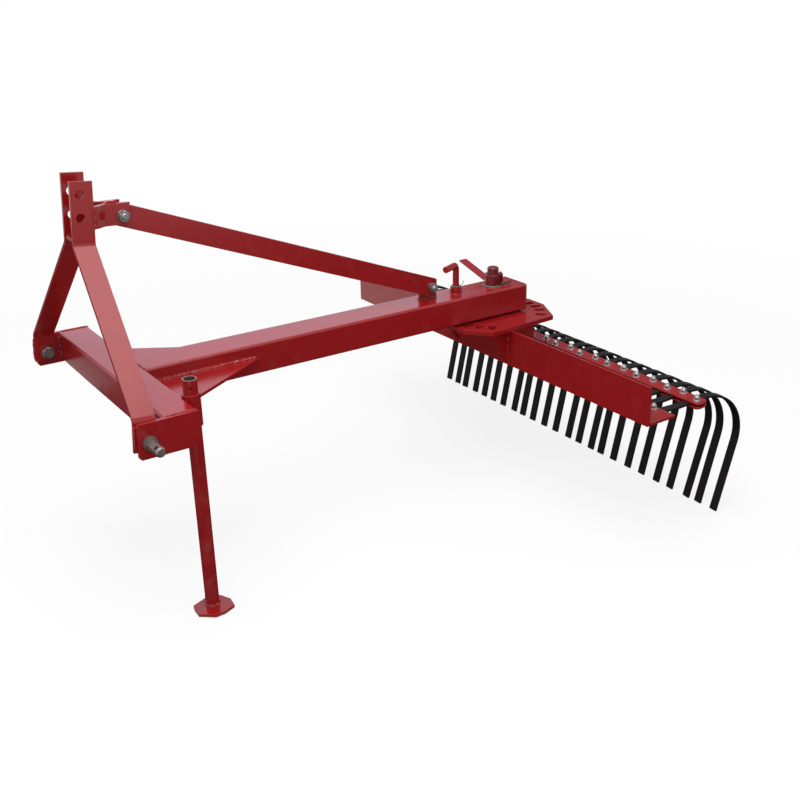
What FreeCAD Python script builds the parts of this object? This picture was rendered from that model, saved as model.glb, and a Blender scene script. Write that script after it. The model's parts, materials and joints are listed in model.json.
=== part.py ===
"""Landscape rake for a tractor's three-point hitch, parked on its stand.

The machine is drawn in its own level frame: X across, Y from the tractor to the rear, Z up, with
zero at the boom's centre plane, the crossbar's front face and the crossbar's top face. At the end
it is tipped back until the stand's foot and the tine tips share one floor, and moved so that the
origin is under the middle of its bounding box. All sizes are millimetres, all angles degrees.
"""
import FreeCAD, Part

import os
from math import atan2, cos, degrees, pi, radians, sin, sqrt, tan

from FreeCAD import Vector

# Clearances
WELD_GAP = 0.1  # between a pin or tube and the hole it is welded or clamped in
PIN_FIT = 0.05  # radial, for the pivot stud in the turning plate
SLIDE_FIT = 0.3  # radial, for the stand's leg in its sleeve and for loose pins
SWING_GAP = 0.2  # axial, above and below the turning plate

# Hitch crossbar and its end plates
HITCH_WIDTH = 683.0  # over the end plates
CROSSBAR_SIDE = 76.2
TUBE_WALL = 6.35
TUBE_CORNER = 6.0
END_PLATE_THICK = 9.5
END_PLATE_REACH = 60.0  # ahead of the crossbar
END_PLATE_DEPTH = 79.0
END_PLATE_CLIP = 5.0

# Lower hitch pins
LOWER_PIN_RADIUS = 11.0
LOWER_PIN_Y = -35.5
LOWER_PIN_DROP = 43.5  # below the crossbar's top
LOWER_PIN_REACH = 60.5  # beyond the end plate
LOWER_PIN_COLLAR_RADIUS = 15.5
LOWER_PIN_COLLAR_LENGTH = 8.0
LOWER_PIN_STUB = 18.0  # inside the strap
LOWER_PIN_CHAMFER = 3.0
LINCH_HOLE_RADIUS = 5.0
LINCH_HOLE_FROM_TIP = 11.5
LINCH_HOLE_TURN = 36.0  # its upper mouth, ahead of upright
HITCH_NUT_ACROSS = 30.0
HITCH_NUT_THICK = 14.0

# Mast: two bent straps, leaning back about the lower pins
STRAP_WIDTH = 48.5
STRAP_THICK = 8.0
STRAP_BEND_RADIUS = 14.0
STRAP_AHEAD = 5.5  # of the end plates' front edge, at the lower pins
MAST_LEAN = 4.2
MAST_FOOT = -63.5
MAST_LOW_BEND = 6.0
MAST_HIGH_BEND = 300.0
MAST_TOP_LEFT = 437.5
MAST_TOP_RIGHT = 448.5  # this strap was cut longer
MAST_GAP = 44.6  # between the straps at the top
TOP_HOLE_RADIUS = 10.0
TOP_HOLES_HIGH = (407.3, 357.3)
TOP_HOLE_AHEAD = 4.5  # of the strap's centreline
SPACER_THICK = 9.0
SPACER_DEPTH = 38.0
SPACER_SET_BACK = 2.0  # behind the straps' front edge
SPACER_HIGH = 306.0

# Ears that carry the brace, welded to the straps' rear edges
EAR_THICK = 9.5
EAR_WIDTH = 48.0
EAR_LOW = 332.0
EAR_BEND_LEAD = 4.0  # from the strap to the first bend
EAR_BEND_RADIUS = 11.0
EAR_JOGGLE_LENGTH = 20.0
EAR_REACH_LEFT = 84.0  # behind the strap's rear edge, at the ear's top
EAR_REACH_RIGHT = 70.0
EAR_DROOP_LEFT = 2.1
EAR_DROOP_RIGHT = 0.4
EAR_END_SLANT = 12.0

# Brace from the ears down to the boom
BRACE_WIDTH = 50.8
BRACE_THICK = 12.0
BRACE_TOP_BOLT = (79.5, 348.0)  # Y, Z
BRACE_LOW_BOLT = (913.4, 33.5)
BRACE_TOP_OVERHANG = 22.0
BRACE_END_BEYOND_BOLT = 16.0
BRACE_END_CLIP_UP = 17.0
BRACE_END_CLIP_BACK = 22.0
BRACE_BOLT_RADIUS = 7.5
BRACE_BOLT_ACROSS = 22.0
BRACE_BOLT_HEAD = 9.0
BOOM_LUG_THICK = 8.0
BOOM_LUG_AHEAD = 32.0  # of its bolt
BOOM_LUG_BEHIND = 23.0
BOOM_LUG_HIGH = 50.0

# Boom
BOOM_WIDTH = 101.6
BOOM_LENGTH = 1141.0  # from the crossbar's rear face
BOOM_CAP_THICK = 6.0

# Corner gussets between crossbar and boom
GUSSET_THICK = 8.0
GUSSET_DROP = 32.5  # its top, below the crossbar's top
GUSSET_ON_CROSSBAR = 180.2  # from the boom's side
GUSSET_ON_BOOM = 289.4  # from the crossbar's rear face
GUSSET_TIP_CLIP = 7.0

# Parking stand
SLEEVE_RADIUS = 20.0
SLEEVE_WALL = 3.7
SLEEVE_X = 255.0
SLEEVE_HIGH = 5.0
SLEEVE_LOW = -69.5
LEG_WALL = 3.0
LEG_HIGH = 38.5
STAND_REACH = 533.0  # from the crossbar's top down to the foot's sole
STAND_PIN_RADIUS = 3.3
# Height of each pin hole in the leg, and its turn from straight ahead towards +X
STAND_PIN_HOLES = ((20.4, 68.0), (-329.6, 158.0))
FOOT_THICK = 8.0
# A square of plate with its corners burnt off by eye, about the leg's axis
FOOT_CORNERS = (
    (-14, -42), (2, -46), (27, -47), (53, -16), (52, 7), (40, 37), (10.5, 41), (-19, 28), (-28, -6),
)

# Rake head pivot
PIVOT_BEHIND = 1055.8  # of the crossbar's rear face
STUD_RADIUS = 16.5
STUD_HIGH = 53.0
STUD_CHAMFER = 2.5
STUD_HEAD_ACROSS = 42.0
STUD_HEAD_THICK = 18.0
PIVOT_NUT_ACROSS = 46.0
PIVOT_NUT_THICK = 30.0
PIVOT_WASHER_RADIUS = 30.0
PIVOT_WASHER_THICK = 4.0
PLATE_GAP = 5.0  # boom's underside to the turning plate
PIVOT_SPACER_RADIUS = 40.0

# Clamp lever on the pivot nut
LEVER_WIDTH = 25.4
LEVER_THICK = 5.0
LEVER_FOOT = 7.6  # its underside at the nut, above the boom
LEVER_LENGTH = 124.5
LEVER_SLOPE = 15.0

# Indexing pin
INDEX_RADIUS = 132.5  # from the pivot to the pin
INDEX_PIN_RADIUS = 9.0
INDEX_PIN_TIP_GAP = 6.2  # above the boom's underside, drawn clear of the plate
INDEX_PIN_TOP = 81.0
INDEX_PIN_BEND = 13.0
INDEX_HANDLE = (26.0, -55.0)  # X, Y
BOSS_RADIUS = 16.0
BOSS_HIGH = 20.0

# Turning plate
PLATE_THICK = 12.7
PLATE_HALF_LENGTH = 167.5
PLATE_HALF_WIDTH = 137.0
PLATE_REAR_FLAT = 33.0
PLATE_FRONT_FLAT = 76.0
PLATE_REAR_CHAMFER = 49.0
PLATE_FRONT_CHAMFER = 56.0
PLATE_TAPER = 6.5
SLOT_RADIUS = 10.0
SLOT_INNER = 133.5  # from the pivot to the middle of each slot's end
SLOT_OUTER = 146.0
SLOT_ANGLES_FRONT = (-51.0, -36.5, -22.0, 0.0, 22.0, 36.5, 51.0)
SLOT_ANGLES_REAR = (-46.0, -28.0, -14.0, 0.0, 14.0, 28.0, 46.0)

# Rake beam, a rolled angle with its flange to the rear
BEAM_LENGTH = 1318.0
BEAM_LEG = 105.1
BEAM_FLANGE = 101.6
BEAM_THICK = 8.0
BEAM_AHEAD = 39.3  # of the pivot
BEAM_TOE_RADIUS = 5.0
BEAM_ROOT_RADIUS = 9.0
WEB_THICK = 9.5
FRONT_WEB_X = 115.0
FRONT_WEB_REACH = 63.0
FRONT_WEB_DEPTH = 97.0
REAR_WEB_X = 110.0
REAR_WEB_CLIP = 14.0

# Tines and the two flat bars that clamp them
TINE_PITCH = 52.1  # where they are bolted to the beam
TINE_WIDTH = 24.0
TINE_THICK = 6.0
TINE_UNDER_FLANGE = 44.0
TINE_SEAT = 0.2  # below the flange, as no tine sits quite square to it
TINE_RISE_START = 118.0  # behind the pivot, where the tine leaves the flange's level
TINE_RISE = 5.5
TINE_BEND_RADIUS = 127.8  # to the tine's middle
TINE_BEND = 103.3  # below level
TINE_BEND_START = 208.2  # behind the pivot
TINE_POINT_LENGTH = 208.6
TINE_TURNED_AT = 46.0  # behind the pivot, the bolt that each tine is turned about
# How far each point strays towards +X, from the tine at -X on
TINE_STRAYS = (
    -10.6, -12.7, -22.0, -14.6, -16.0, -17.6, -16.0, -8.0, -15.6, -17.0, -11.0, -8.0,
    2.4, -2.0, 2.7, -7.6, -3.6, 6.5, 12.0, 21.0, 21.6, 36.0, 24.0, 28.5,
)
TINES_PER_GROUP = 4
CLAMP_BAR_WIDTH = 38.1
CLAMP_BAR_THICK = 5.0
CLAMP_BAR_LENGTH = 1304.0
CLAMP_BAR_CLIP = 8.0
CLAMP_BAR_BEHIND = 174.0  # of the pivot

# Planes and lines that several pieces share
crossbar_rear = CROSSBAR_SIDE
crossbar_half = HITCH_WIDTH / 2 - END_PLATE_THICK
strap_foot_x = crossbar_half - STRAP_THICK / 2
strap_top_x = MAST_GAP / 2 + STRAP_THICK / 2
strap_foot_front = -END_PLATE_REACH - STRAP_AHEAD
strap_foot_rear = strap_foot_front + STRAP_WIDTH
boom_rear = crossbar_rear + BOOM_LENGTH
boom_under = -CROSSBAR_SIDE
sleeve_y = crossbar_rear + SLEEVE_RADIUS + WELD_GAP
leg_radius = SLEEVE_RADIUS - SLEEVE_WALL - SLIDE_FIT
foot_top = FOOT_THICK - STAND_REACH
pivot_y = crossbar_rear + PIVOT_BEHIND
index_pin_y = pivot_y - INDEX_RADIUS
plate_top = boom_under - PLATE_GAP
plate_under = plate_top - PLATE_THICK
beam_front = pivot_y - BEAM_AHEAD
beam_under = plate_under - BEAM_LEG
flange_top = beam_under + BEAM_THICK
flange_rear = beam_front + BEAM_FLANGE
tine_middle = beam_under - TINE_SEAT - TINE_THICK / 2
rise_start = Vector(0, pivot_y + TINE_RISE_START, tine_middle)
clamp_bar_y = pivot_y + CLAMP_BAR_BEHIND

UP = Vector(0, 0, 1)
ACROSS = Vector(1, 0, 0)
REARWARD = Vector(0, 1, 0)


def prism(points, along):
    """A solid with this outline, carried along a vector."""
    return Part.Face(Part.makePolygon([*points, points[0]])).extrude(along)


def upright(outline, low, high):
    """A solid with an outline of (x, y) points between two heights."""
    return prism([Vector(x, y, low) for x, y in outline], UP * (high - low))


def side_plate(outline, start, end):
    """A solid with an outline of (y, z) points between two places across."""
    return prism([Vector(start, y, z) for y, z in outline], ACROSS * (end - start))


def block(low, high):
    """A box between two corners."""
    size = Vector(*high) - Vector(*low)
    return Part.makeBox(size.x, size.y, size.z, Vector(*low))


def rod(radius, start, end):
    """A round bar between two points."""
    run = Vector(*end) - Vector(*start)
    return Part.makeCylinder(radius, run.Length, Vector(*start), run)


def chamfered_rod(radius, start, end, chamfer):
    """A round bar whose far end has a chamfer."""
    run = Vector(*end) - Vector(*start)
    bar = rod(radius, start, end)
    rim = [e for e in bar.Edges if e.Closed and (e.CenterOfMass - Vector(*end)).Length < radius / 2]
    return bar.makeChamfer(chamfer, rim)


def hexagon(across, thick, centre, axis):
    """A hexagonal head or nut on a base centre, thick along the axis."""
    angles = [radians(60 * k + 30) for k in range(6)]
    corners = [Vector(cos(a), sin(a), 0) * (across / sqrt(3)) for a in angles]
    head = prism(corners, UP * thick)
    head.Placement = FreeCAD.Placement(Vector(*centre), FreeCAD.Rotation(UP, Vector(*axis)))
    return head


def square_tube(width, height, length, wall, corner):
    """A hollow tube along +Y with rounded corners, its top face at z = 0, centred across."""
    outer = block((-width / 2, 0, -height), (width / 2, length, 0))
    outer = outer.makeFillet(corner, edges_along(outer, REARWARD))
    bore = block((wall - width / 2, 0, wall - height), (width / 2 - wall, length, -wall))
    return outer.cut(bore)


def edges_along(shape, direction):
    """The straight edges of a shape that run along a direction."""
    straight = [e for e in shape.Edges if e.Curve.TypeId == "Part::GeomLine"]
    return [e for e in straight if abs(e.tangentAt(e.FirstParameter) * direction) > 1 - 1e-6]


def bent_path(points, radius, side=0.0, across=ACROSS):
    """Edges of straight runs through these points, joined by tangent arcs of one radius.

    With a side, the path is the parallel one that far from the points, square to both the runs
    and the vector across.
    """
    edges = []
    runs = [(b - a).normalize() for a, b in zip(points, points[1:])]
    start = points[0] + runs[0].cross(across) * side
    for corner, run, next_run in zip(points[1:], runs, runs[1:]):
        half_angle = (pi - run.getAngle(next_run)) / 2
        setback = radius / tan(half_angle)
        inward = (next_run - run).normalize()
        centre = corner + inward * (radius / sin(half_angle))
        enter = corner - run * setback + run.cross(across) * side
        leave = corner + next_run * setback + next_run.cross(across) * side
        middle = centre - inward * (enter - centre).Length
        edges.append(Part.makeLine(start, enter))
        edges.append(Part.Arc(enter, middle, leave).toShape())
        start = leave
    end = points[-1] + runs[-1].cross(across) * side
    return [*edges, Part.makeLine(start, end)]


def flat_bar(points, radius, across, width, thick):
    """A flat bar bent along a path; its width lies along the vector across."""
    one, other = (bent_path(points, radius, side, across) for side in (-thick / 2, thick / 2))
    near_end = Part.makeLine(one[0].Vertexes[0].Point, other[0].Vertexes[0].Point)
    far_end = Part.makeLine(one[-1].Vertexes[-1].Point, other[-1].Vertexes[-1].Point)
    outline = Part.Face(Part.Wire(Part.sortEdges([*one, *other, near_end, far_end])[0]))
    outline.translate(across * (-width / 2))
    return outline.extrude(across * width)


def round_bent_bar(points, bend_radius, radius):
    """A round bar bent along a path."""
    run = points[1] - points[0]
    section = Part.Wire(Part.makeCircle(radius, points[0], run))
    return Part.Wire(bent_path(points, bend_radius)).makePipeShell([section], True, False)


def mirrored(shape):
    """The same piece on the other side of the boom."""
    return shape.mirror(Vector(), ACROSS)


def leaned(shape):
    """A mast piece, tipped back about the lower pins' height."""
    tipped = shape.copy()
    tipped.rotate(Vector(0, strap_foot_front, -LOWER_PIN_DROP), ACROSS, -MAST_LEAN)
    return tipped


# Hitch crossbar

def crossbar():
    """Square tube across the front, closed at both ends by the end plates."""
    tube = square_tube(CROSSBAR_SIDE, CROSSBAR_SIDE, 2 * crossbar_half, TUBE_WALL, TUBE_CORNER)
    tube.rotate(Vector(), UP, -90)
    tube.translate(Vector(-crossbar_half, CROSSBAR_SIDE / 2, 0))
    return tube


def end_plate():
    """Plate that closes the crossbar and carries a lower hitch pin ahead of it."""
    front, rear = -END_PLATE_REACH, crossbar_rear
    clip = END_PLATE_CLIP
    outline = [
        (front + clip, 0), (rear, 0), (rear, -END_PLATE_DEPTH), (front + clip, -END_PLATE_DEPTH),
        (front, clip - END_PLATE_DEPTH), (front, -clip),
    ]
    plate = side_plate(outline, crossbar_half, HITCH_WIDTH / 2)
    return plate.cut(lower_pin_axis(crossbar_half - 1, HITCH_WIDTH / 2 + 1, LOWER_PIN_RADIUS + WELD_GAP))


def on_lower_pin(x):
    """The point of the lower pins' axis at this place across."""
    return Vector(x, LOWER_PIN_Y, -LOWER_PIN_DROP)


def lower_pin_axis(start, end, radius):
    """A round bar on the lower pins' axis."""
    return rod(radius, on_lower_pin(start), on_lower_pin(end))


def hitch_pin():
    """Lower hitch pin with its collar, its linch pin hole and its threaded stub."""
    outside = HITCH_WIDTH / 2
    tip = outside + LOWER_PIN_REACH
    inner = crossbar_half - STRAP_THICK - LOWER_PIN_STUB
    shank = chamfered_rod(LOWER_PIN_RADIUS, on_lower_pin(inner), on_lower_pin(tip), LOWER_PIN_CHAMFER)
    collar = lower_pin_axis(outside, outside + LOWER_PIN_COLLAR_LENGTH, LOWER_PIN_COLLAR_RADIUS)
    turn = radians(LINCH_HOLE_TURN)
    bore = Vector(0, -sin(turn), cos(turn)) * (2 * LOWER_PIN_RADIUS)
    middle = on_lower_pin(tip - LINCH_HOLE_FROM_TIP)
    return shank.fuse(collar).cut(rod(LINCH_HOLE_RADIUS, middle - bore, middle + bore)).removeSplitter()


def hitch_nut():
    """Nut on the stub of a lower hitch pin, against the strap's inner face."""
    face = crossbar_half - STRAP_THICK
    nut = hexagon(HITCH_NUT_ACROSS, HITCH_NUT_THICK, on_lower_pin(face), -ACROSS)
    return nut.cut(lower_pin_axis(face - HITCH_NUT_THICK - 1, face + 1, LOWER_PIN_RADIUS + WELD_GAP))


# Mast

def mast_strap(top):
    """Flat bar from an end plate, bent in to the mast and up past the top link holes."""
    middle_y = (strap_foot_front + strap_foot_rear) / 2
    path = [
        Vector(strap_foot_x, middle_y, MAST_FOOT),
        Vector(strap_foot_x, middle_y, MAST_LOW_BEND),
        Vector(strap_top_x, middle_y, MAST_HIGH_BEND),
        Vector(strap_top_x, middle_y, top),
    ]
    strap = leaned(flat_bar(path, STRAP_BEND_RADIUS, REARWARD, STRAP_WIDTH, STRAP_THICK))
    strap = strap.cut(lower_pin_axis(0, crossbar_half + 1, LOWER_PIN_RADIUS + WELD_GAP))
    return strap.cut(top_link_bores())


def top_link_bores():
    """The two pin holes through both straps for the tractor's top link."""
    half = MAST_GAP / 2 + STRAP_THICK + 1
    centreline = (strap_foot_front + strap_foot_rear) / 2
    bores = []
    for high in TOP_HOLES_HIGH:
        y = centreline - TOP_HOLE_AHEAD + (high + LOWER_PIN_DROP) * tan(radians(MAST_LEAN))
        bores.append(rod(TOP_HOLE_RADIUS, (-half, y, high), (half, y, high)))
    return Part.makeCompound(bores)


def mast_spacer():
    """Flat between the straps at their upper bends."""
    front = strap_foot_front + SPACER_SET_BACK
    half = MAST_GAP / 2
    rear, high = front + SPACER_DEPTH, SPACER_HIGH + SPACER_THICK
    return leaned(block((-half, front, SPACER_HIGH), (half, rear, high)))


def brace_ear(reach, droop):
    """Joggled ear from a strap's rear edge to the side of the brace, nearly level."""
    lean = radians(MAST_LEAN)
    top = EAR_LOW + EAR_WIDTH
    strap_rear = strap_foot_front + STRAP_WIDTH / cos(lean) + (top + LOWER_PIN_DROP) * tan(lean)
    outer = strap_top_x
    inner = BRACE_THICK / 2 + EAR_THICK / 2
    middle_z = EAR_LOW + EAR_WIDTH / 2
    first, end = strap_rear + EAR_BEND_LEAD, strap_rear + reach
    path = [
        Vector(outer, strap_rear - STRAP_WIDTH / 2, middle_z),
        Vector(outer, first, middle_z),
        Vector(inner, first + EAR_JOGGLE_LENGTH, middle_z),
        Vector(inner, end, middle_z),
    ]
    ear = flat_bar(path, EAR_BEND_RADIUS, UP, EAR_WIDTH, EAR_THICK)
    beyond = side_plate([(end, top), (end, EAR_LOW), (end - EAR_END_SLANT, EAR_LOW)], 0, MAST_GAP / 2)
    ear = ear.cut(beyond)
    ear.rotate(Vector(0, strap_rear - STRAP_WIDTH, middle_z), ACROSS, -droop)
    beside_strap = leaned(block((0, strap_foot_front, 0), (MAST_GAP, strap_foot_rear, 2 * top)))
    return ear.cut(beside_strap).cut(brace_bolt_axis(BRACE_TOP_BOLT, SLIDE_FIT))


# Brace

def brace_bolt_axis(spot, clearance):
    """A long round bar on the axis of one of the brace's bolts."""
    y, z = spot
    return rod(BRACE_BOLT_RADIUS + clearance, (-100, y, z), (100, y, z))


def brace():
    """Flat bar on edge from the ears to the boom, its upper end round, its lower end cut upright."""
    top, low = Vector(0, *BRACE_TOP_BOLT), Vector(0, *BRACE_LOW_BOLT)
    run = (low - top).normalize()
    side = run.cross(ACROSS) * (BRACE_WIDTH / 2)
    if side.z < 0:
        side = side * -1
    crown = top - run * BRACE_TOP_OVERHANG
    slope = run.z / run.y
    end_y = low.y + BRACE_END_BEYOND_BOLT

    def edge_at(y, offset):
        start = low + offset
        return (y, start.z + (y - start.y) * slope)

    under = edge_at(end_y - BRACE_END_CLIP_BACK, side * -1)
    outline = [
        ((crown + side).y, (crown + side).z),
        edge_at(end_y, side),
        (end_y, under[1] + BRACE_END_CLIP_UP),
        under,
        ((crown - side).y, (crown - side).z),
    ]
    half = BRACE_THICK / 2
    bar = side_plate(outline, -half, half)
    bar = bar.fuse(rod(BRACE_WIDTH / 2, (-half, crown.y, crown.z), (half, crown.y, crown.z))).removeSplitter()
    return bar.cut(brace_bolt_axis(BRACE_TOP_BOLT, SLIDE_FIT)).cut(brace_bolt_axis(BRACE_LOW_BOLT, SLIDE_FIT))


def boom_lug():
    """Upright lug on the boom, beside the brace's lower end."""
    y, z = BRACE_LOW_BOLT
    outer = -BRACE_THICK / 2
    lug = block((outer - BOOM_LUG_THICK, y - BOOM_LUG_AHEAD, 0), (outer, y + BOOM_LUG_BEHIND, BOOM_LUG_HIGH))
    corners = [e for e in edges_along(lug, ACROSS) if e.CenterOfMass.z > z]
    return lug.makeFillet(BOOM_LUG_THICK, corners).cut(brace_bolt_axis(BRACE_LOW_BOLT, SLIDE_FIT))


def brace_bolt(spot, left_face, right_face):
    """Hexagon bolt with its nut, gripping what lies between two faces across."""
    y, z = spot
    shank = rod(BRACE_BOLT_RADIUS, (right_face - 1.7 * BRACE_BOLT_HEAD, y, z), (left_face, y, z))
    head = hexagon(BRACE_BOLT_ACROSS, BRACE_BOLT_HEAD, (left_face, y, z), (1, 0, 0))
    nut = hexagon(BRACE_BOLT_ACROSS, BRACE_BOLT_HEAD, (right_face, y, z), (-1, 0, 0))
    return shank.fuse([head, nut]).removeSplitter()


# Boom

def boom():
    """Rectangular tube from the crossbar to just past the pivot."""
    tube = square_tube(BOOM_WIDTH, CROSSBAR_SIDE, BOOM_LENGTH - BOOM_CAP_THICK, TUBE_WALL, TUBE_CORNER)
    tube.translate(Vector(0, crossbar_rear, 0))
    for radius, y in ((STUD_RADIUS, pivot_y), (INDEX_PIN_RADIUS, index_pin_y)):
        tube = tube.cut(rod(radius + SLIDE_FIT, (0, y, boom_under - 1), (0, y, 1)))
    return tube


def boom_cap():
    """Plate that closes the boom's rear end."""
    half = BOOM_WIDTH / 2
    cap = block((-half, boom_rear - BOOM_CAP_THICK, boom_under), (half, boom_rear, 0))
    return cap.makeFillet(TUBE_CORNER, edges_along(cap, REARWARD))


def gusset():
    """Level triangle in the corner between crossbar and boom."""
    side = BOOM_WIDTH / 2
    slope = GUSSET_ON_CROSSBAR / GUSSET_ON_BOOM
    apex = crossbar_rear + GUSSET_ON_BOOM
    clip = GUSSET_TIP_CLIP
    outline = [
        (side, crossbar_rear), (side + GUSSET_ON_CROSSBAR - clip * slope, crossbar_rear),
        (side + GUSSET_ON_CROSSBAR - clip * slope, crossbar_rear + clip), (side + clip * slope, apex - clip),
        (side, apex - clip),
    ]
    return upright(outline, -GUSSET_DROP - GUSSET_THICK, -GUSSET_DROP)


# Parking stand

def stand_sleeve():
    """Tube welded to the crossbar's rear face, in which the leg slides."""
    low, high = (SLEEVE_X, sleeve_y, SLEEVE_LOW), (SLEEVE_X, sleeve_y, SLEEVE_HIGH)
    return rod(SLEEVE_RADIUS, low, high).cut(rod(SLEEVE_RADIUS - SLEEVE_WALL, low, high))


def stand_leg():
    """Tube leg, with a cross hole for each height it can be pinned at."""
    low, high = (SLEEVE_X, sleeve_y, foot_top), (SLEEVE_X, sleeve_y, LEG_HIGH)
    leg = rod(leg_radius, low, high).cut(rod(leg_radius - LEG_WALL, low, high))
    for height, turn in STAND_PIN_HOLES:
        edge = Vector(sin(radians(turn)), -cos(radians(turn)), 0) * SLEEVE_RADIUS
        middle = Vector(SLEEVE_X, sleeve_y, height)
        leg = leg.cut(rod(STAND_PIN_RADIUS, tuple(middle - edge), tuple(middle + edge)))
    return leg


def stand_foot():
    """Foot plate, cut by hand to nine rough sides."""
    outline = [(SLEEVE_X + x, sleeve_y + y) for x, y in FOOT_CORNERS]
    return upright(outline, -STAND_REACH, foot_top)


# Rake head pivot

def pivot_stud():
    """Stud up through turning plate and boom, with a hexagon head underneath."""
    under = plate_under - SWING_GAP
    shank = chamfered_rod(STUD_RADIUS, (0, pivot_y, under), (0, pivot_y, STUD_HIGH), STUD_CHAMFER)
    head = hexagon(STUD_HEAD_ACROSS, STUD_HEAD_THICK, (0, pivot_y, under), (0, 0, -1))
    return shank.fuse(head).removeSplitter()


def pivot_axis(low, high, radius):
    """A round bar on the pivot's axis."""
    return rod(radius, (0, pivot_y, low), (0, pivot_y, high))


def pivot_spacer():
    """Wear washer between the boom and the turning plate."""
    low, high = plate_top + SWING_GAP, boom_under
    return pivot_axis(low, high, PIVOT_SPACER_RADIUS).cut(pivot_axis(low, high, STUD_RADIUS + SLIDE_FIT))


def pivot_washer():
    """Plain washer on top of the boom."""
    high = PIVOT_WASHER_THICK
    return pivot_axis(0, high, PIVOT_WASHER_RADIUS).cut(pivot_axis(0, high, STUD_RADIUS + SLIDE_FIT))


def pivot_nut():
    """Tall hexagon nut on the stud."""
    low = PIVOT_WASHER_THICK
    nut = hexagon(PIVOT_NUT_ACROSS, PIVOT_NUT_THICK, (0, pivot_y, low), (0, 0, 1))
    return nut.cut(pivot_axis(low, low + PIVOT_NUT_THICK, STUD_RADIUS + WELD_GAP))


def clamp_lever():
    """Flat lever welded to a side of the pivot nut, rising away from it."""
    slope = radians(LEVER_SLOPE)
    run = Vector(-cos(slope), 0, sin(slope)) * LEVER_LENGTH
    lift = Vector(sin(slope), 0, cos(slope)) * LEVER_THICK
    foot = Vector(-PIVOT_NUT_ACROSS / 2, pivot_y - LEVER_WIDTH / 2, LEVER_FOOT)
    outline = [foot, foot + run, foot + run + lift, foot + UP * (LEVER_THICK / cos(slope))]
    return prism(outline, REARWARD * LEVER_WIDTH)


# Indexing pin

def index_boss():
    """Guide bush for the indexing pin, welded on the boom."""
    low, high = (0, index_pin_y, 0), (0, index_pin_y, BOSS_HIGH)
    return rod(BOSS_RADIUS, low, high).cut(rod(INDEX_PIN_RADIUS + SLIDE_FIT, low, high))


def index_pin():
    """Pin with its handle bent over, drawn up out of the turning plate."""
    tip = Vector(0, index_pin_y, boom_under + INDEX_PIN_TIP_GAP)
    bend = Vector(0, index_pin_y, INDEX_PIN_TOP)
    return round_bent_bar([tip, bend, bend + Vector(*INDEX_HANDLE, 0)], INDEX_PIN_BEND, INDEX_PIN_RADIUS)


# Rake head

def turning_plate():
    """Eight-sided plate under the boom with a fan of indexing slots ahead of and behind the pivot."""
    length = PLATE_HALF_LENGTH
    wide_y, narrow_y = PLATE_FRONT_CHAMFER - length, length - PLATE_REAR_CHAMFER
    half = [
        (PLATE_FRONT_FLAT, -length), (PLATE_HALF_WIDTH + PLATE_TAPER, wide_y),
        (PLATE_HALF_WIDTH - PLATE_TAPER, narrow_y), (PLATE_REAR_FLAT, length),
    ]
    outline = half + [(-x, y) for x, y in reversed(half)]
    plate = upright([(x, pivot_y + y) for x, y in outline], plate_under, plate_top)
    plate = plate.cut(pivot_axis(plate_under, plate_top, STUD_RADIUS + PIN_FIT))
    for side, angles in ((-1, SLOT_ANGLES_FRONT), (1, SLOT_ANGLES_REAR)):
        for angle in angles:
            plate = plate.cut(index_slot(angle, side))
    return plate


def index_slot(angle, side):
    """Radial slot for the indexing pin, cut through the turning plate."""
    outward = Vector(sin(radians(angle)), side * cos(radians(angle)), 0)
    across, through = outward.cross(UP) * SLOT_RADIUS, UP * PLATE_THICK
    centre = Vector(0, pivot_y, plate_under)
    inner, outer = centre + outward * SLOT_INNER, centre + outward * SLOT_OUTER
    middle = prism([inner - across, inner + across, outer + across, outer - across], through)
    ends = [rod(SLOT_RADIUS, tuple(end), tuple(end + through)) for end in (inner, outer)]
    return middle.fuse(ends)


def beam():
    """Rolled angle that carries the tines, toes and root rounded."""
    wall_rear = beam_front + BEAM_THICK
    outline = [
        (beam_front, plate_under), (wall_rear, plate_under), (wall_rear, flange_top),
        (flange_rear, flange_top), (flange_rear, beam_under), (beam_front, beam_under),
    ]
    half = BEAM_LENGTH / 2
    angle = side_plate(outline, -half, half)
    angle = angle.makeFillet(BEAM_ROOT_RADIUS, edges_at(angle, wall_rear, flange_top))
    angle = angle.makeFillet(BEAM_TOE_RADIUS, edges_at(angle, flange_rear, flange_top))
    return angle.makeFillet(BEAM_TOE_RADIUS, edges_at(angle, wall_rear, plate_under))


def edges_at(shape, y, z):
    """The edges along X that run at this Y and Z."""
    line = Vector(0, y, z)
    return [e for e in edges_along(shape, ACROSS) if (e.CenterOfMass - line).cross(ACROSS).Length < 1e-3]


def front_web():
    """Triangle under the plate, ahead of the beam."""
    outline = [
        (beam_front, plate_under), (beam_front, plate_under - FRONT_WEB_DEPTH),
        (beam_front - FRONT_WEB_REACH, plate_under),
    ]
    half = WEB_THICK / 2
    return side_plate(outline, FRONT_WEB_X - half, FRONT_WEB_X + half)


def rear_web():
    """Upright web inside the angle, from its flange to the plate."""
    clip = REAR_WEB_CLIP
    near = beam_front + BEAM_THICK
    outline = [
        (near, plate_under), (flange_rear, plate_under), (flange_rear, flange_top),
        (near + clip, flange_top), (near, flange_top + clip),
    ]
    half = WEB_THICK / 2
    return side_plate(outline, REAR_WEB_X - half, REAR_WEB_X + half)


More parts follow.
